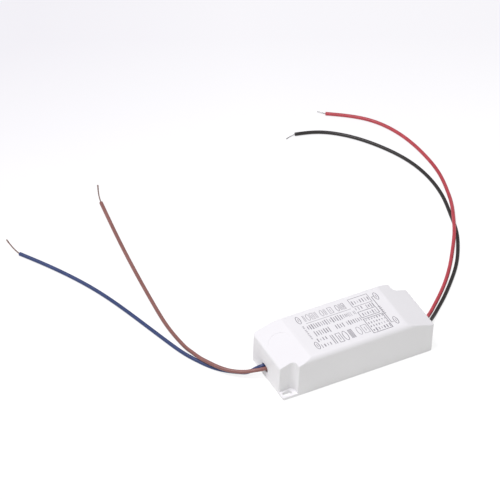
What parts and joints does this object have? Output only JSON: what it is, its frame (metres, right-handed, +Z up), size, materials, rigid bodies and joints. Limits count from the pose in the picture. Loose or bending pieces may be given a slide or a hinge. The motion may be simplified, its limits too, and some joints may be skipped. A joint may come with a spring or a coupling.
{
  "type": "led driver",
  "caption": "Small white plastic mains LED driver with sloping ends, slotted screw ears in opposite corners, and bare-ended input and output wires.",
  "frame": {"origin": "middle of the housing's underside, on the surface that it stands on", "axes": "+X along the housing towards the red and black output wires, +Y across it away from the near long side, +Z up"},
  "size_m": [0.2599, 0.2158, 0.025],
  "materials": {
    "white_plastic": "satin",
    "cover_plastic": "satin",
    "board_laminate": "satin",
    "solder": "satin",
    "fuse_coating": "satin",
    "blue_epoxy": "gloss",
    "yellow_plastic": "satin",
    "ferrite": "matte",
    "copper_wire": "satin",
    "black_epoxy": "matte",
    "capacitor_sleeve": "gloss",
    "resistor_coating": "satin",
    "bobbin_plastic": "matte",
    "yellow_tape": "satin",
    "brown_insulation": "satin",
    "blue_insulation": "satin",
    "red_insulation": "satin",
    "black_insulation": "satin",
    "bare_copper": "satin",
    "tinned_copper": "satin",
    "grey_print": "matte"
  },
  "bodies": {
    "root": {"upper_housing": "white_plastic", "base_cover": "cover_plastic", "circuit_board": "board_laminate", "solder_joints": "solder", "fuse_resistor": "fuse_coating", "varistor": "blue_epoxy", "film_capacitor": "yellow_plastic", "choke_core": "ferrite", "choke_winding": "copper_wire", "bridge_rectifier": "black_epoxy", "input_capacitor": "capacitor_sleeve", "controller_chip": "black_epoxy", "supply_capacitor": "capacitor_sleeve", "clamp_diode": "black_epoxy", "clamp_resistor": "resistor_coating", "transformer_bobbin": "bobbin_plastic", "transformer_winding": "yellow_tape", "transformer_core_left": "ferrite", "transformer_core_right": "ferrite", "transformer_tape": "yellow_tape", "safety_capacitor": "blue_epoxy", "output_diode": "black_epoxy", "output_capacitor": "capacitor_sleeve", "load_resistor": "resistor_coating", "live_wire": "brown_insulation", "neutral_wire": "blue_insulation", "positive_wire": "red_insulation", "negative_wire": "black_insulation", "live_wire_end": "bare_copper", "neutral_wire_end": "bare_copper", "positive_wire_end": "tinned_copper", "negative_wire_end": "tinned_copper"}
  },
  "joints": []
}
